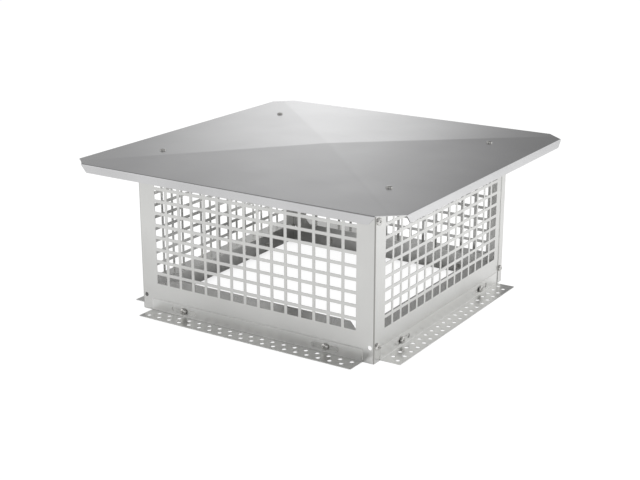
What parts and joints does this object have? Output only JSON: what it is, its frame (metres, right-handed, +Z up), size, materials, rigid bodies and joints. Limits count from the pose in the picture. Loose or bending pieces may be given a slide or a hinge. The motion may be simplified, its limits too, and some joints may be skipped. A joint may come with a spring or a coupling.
{
  "type": "chimney cap",
  "caption": "Square chimney cap: a box of perforated stainless panels on slotted base flanges under a wider cross-broken lid, keeps rain and animals out of a flue.",
  "frame": {"origin": "centre of the underside, on the plane of the base flanges", "axes": "+X to the right of the front panel, +Y to the back, +Z up; the front panel is the left one of the two in the picture"},
  "size_m": [0.5816, 0.5816, 0.2575],
  "materials": {
    "stainless_sheet": "mill-finished stainless sheet, satin",
    "stainless_fastener": "bright stainless"
  },
  "bodies": {
    "root": {"lid": "stainless_sheet", "panel_front": "stainless_sheet", "panel_right": "stainless_sheet", "panel_back": "stainless_sheet", "panel_left": "stainless_sheet", "ledge_front": "stainless_sheet", "ledge_right": "stainless_sheet", "ledge_back": "stainless_sheet", "ledge_left": "stainless_sheet", "base_flange_front": "stainless_sheet", "base_flange_right": "stainless_sheet", "base_flange_back": "stainless_sheet", "base_flange_left": "stainless_sheet", "corner_return_front_right": "stainless_sheet", "corner_return_back_right": "stainless_sheet", "corner_return_back_left": "stainless_sheet", "corner_return_front_left": "stainless_sheet", "top_flange_right": "stainless_sheet", "top_flange_left": "stainless_sheet", "flange_bolts_front": "stainless_fastener", "flange_bolts_right": "stainless_fastener", "flange_bolts_back": "stainless_fastener", "flange_bolts_left": "stainless_fastener", "flange_nuts_front": "stainless_fastener", "flange_nuts_right": "stainless_fastener", "flange_nuts_back": "stainless_fastener", "flange_nuts_left": "stainless_fastener", "corner_screws_front_right": "stainless_fastener", "corner_screws_back_right": "stainless_fastener", "corner_screws_back_left": "stainless_fastener", "corner_screws_front_left": "stainless_fastener", "lid_screw_front_right": "stainless_fastener", "lid_screw_back_right": "stainless_fastener", "lid_screw_back_left": "stainless_fastener", "lid_screw_front_left": "stainless_fastener"}
  },
  "joints": []
}
